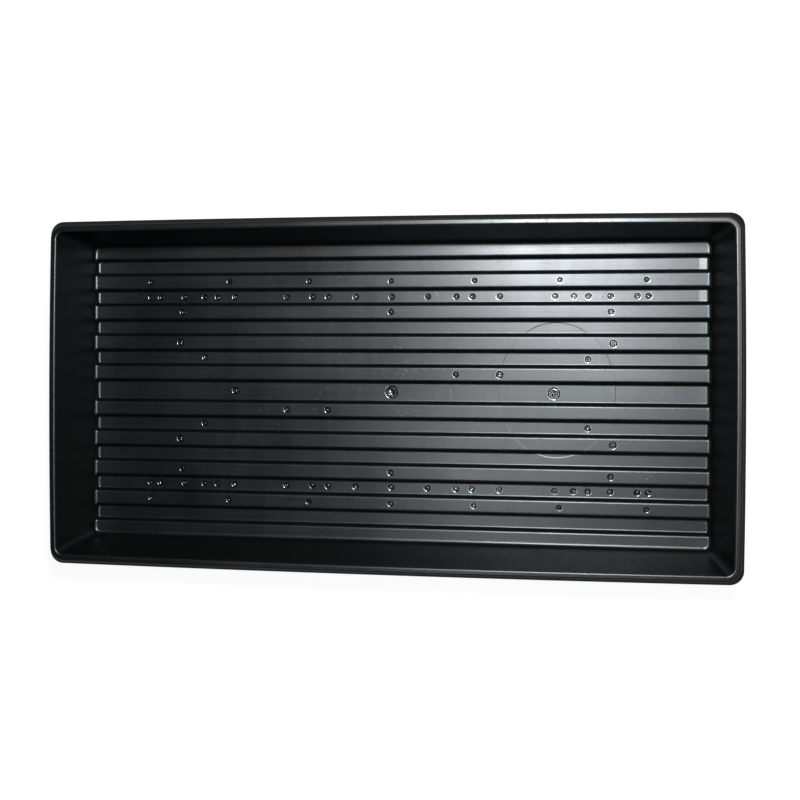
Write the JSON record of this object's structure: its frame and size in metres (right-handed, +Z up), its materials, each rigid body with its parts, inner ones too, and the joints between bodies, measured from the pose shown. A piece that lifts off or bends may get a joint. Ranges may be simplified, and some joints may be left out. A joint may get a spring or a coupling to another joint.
{
  "type": "propagator tray",
  "caption": "Shallow rectangular seedling tray with leaning walls, a turned-down rim and a floor of lengthwise ribs and water channels.",
  "frame": {"origin": "middle of the tray's base, on the plane it rests on", "axes": "+X along the length, +Y across the width, +Z up out of the open top"},
  "size_m": [0.545, 0.278, 0.063],
  "materials": {
    "black_plastic": "satin black formed sheet with a fine grain, faint scuffs and soft highlights"
  },
  "bodies": {
    "root": {"rim_corner_back_right": "black_plastic", "skirt_corner_back_right": "black_plastic", "wall_corner_back_right": "black_plastic", "rim_back": "black_plastic", "skirt_back": "black_plastic", "wall_back": "black_plastic", "rim_corner_back_left": "black_plastic", "skirt_corner_back_left": "black_plastic", "wall_corner_back_left": "black_plastic", "rim_left": "black_plastic", "skirt_left": "black_plastic", "wall_left": "black_plastic", "rim_corner_front_left": "black_plastic", "skirt_corner_front_left": "black_plastic", "wall_corner_front_left": "black_plastic", "rim_front": "black_plastic", "skirt_front": "black_plastic", "wall_front": "black_plastic", "rim_corner_front_right": "black_plastic", "skirt_corner_front_right": "black_plastic", "wall_corner_front_right": "black_plastic", "rim_right": "black_plastic", "skirt_right": "black_plastic", "wall_right": "black_plastic", "rib_01": "black_plastic", "rib_02": "black_plastic", "rib_03": "black_plastic", "rib_04": "black_plastic", "rib_05": "black_plastic", "rib_06": "black_plastic", "rib_07": "black_plastic", "rib_08": "black_plastic", "rib_09": "black_plastic", "rib_10": "black_plastic", "channel_01": "black_plastic", "channel_02": "black_plastic", "channel_03": "black_plastic", "channel_04": "black_plastic", "channel_05": "black_plastic", "channel_06": "black_plastic", "channel_07": "black_plastic", "channel_08": "black_plastic", "channel_09": "black_plastic"}
  },
  "joints": []
}
